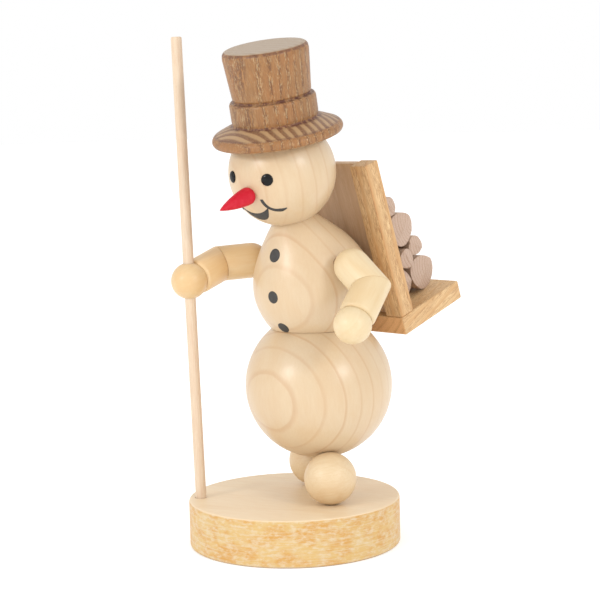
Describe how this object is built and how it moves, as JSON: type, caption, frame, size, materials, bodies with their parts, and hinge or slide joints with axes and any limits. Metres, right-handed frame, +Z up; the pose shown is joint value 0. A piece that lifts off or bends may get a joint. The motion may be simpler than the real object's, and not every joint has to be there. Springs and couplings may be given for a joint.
{
  "type": "wooden snowman figure",
  "caption": "Turned wooden snowman on a round base, with a top hat, a carrot nose, a walking staff and a back carrier stacked with logs.",
  "frame": {"origin": "centre of the base disc's flat underside", "axes": "+Z up, -Y the way the snowman faces, +X its left side"},
  "size_m": [0.0568, 0.068, 0.1179],
  "materials": {
    "pale_wood": "satin clear coat on pale maple",
    "yellow_wood": "satin yellowish pale wood",
    "foot_wood": "fine sanded pale wood",
    "base_wood": "turned, mottled pale wood",
    "hat_wood": "open-pored brown wood",
    "carrier_wood": "sawn golden brown wood",
    "panel_wood": "thin tan plywood",
    "staff_wood": "straight-grained pinkish dowel",
    "log_wood": "raw split wood",
    "dowel_wood": "plain dowel",
    "red_paint": "red paint on wood",
    "black_gloss": "glossy black pin head"
  },
  "bodies": {
    "root": {"base": "base_wood", "belly": "pale_wood", "torso": "pale_wood", "head": "pale_wood", "left_foot": "foot_wood", "right_foot": "foot_wood", "hat": "hat_wood", "nose": "red_paint", "left_eye": "black_gloss", "right_eye": "black_gloss", "staff": "staff_wood", "shelf": "carrier_wood", "left_rail": "carrier_wood", "right_rail": "carrier_wood", "carrier_panel": "panel_wood", "left_upper_arm": "yellow_wood", "left_forearm": "yellow_wood", "left_hand": "yellow_wood", "right_upper_arm": "yellow_wood", "right_forearm": "yellow_wood", "right_hand": "yellow_wood", "waist_dowel": "dowel_wood", "neck_dowel": "dowel_wood", "hat_dowel": "dowel_wood", "carrier_dowel": "dowel_wood", "left_foot_pin": "dowel_wood", "left_leg_dowel": "dowel_wood", "left_shoulder_dowel": "dowel_wood", "left_wrist_dowel": "dowel_wood", "left_rail_pin": "dowel_wood", "right_foot_pin": "dowel_wood", "right_leg_dowel": "dowel_wood", "right_shoulder_dowel": "dowel_wood", "right_wrist_dowel": "dowel_wood", "right_rail_pin": "dowel_wood", "log_01": "log_wood", "log_02": "log_wood", "log_03": "log_wood", "log_04": "log_wood", "log_05": "log_wood", "log_06": "log_wood", "log_07": "log_wood", "log_08": "log_wood", "log_09": "log_wood"}
  },
  "joints": []
}
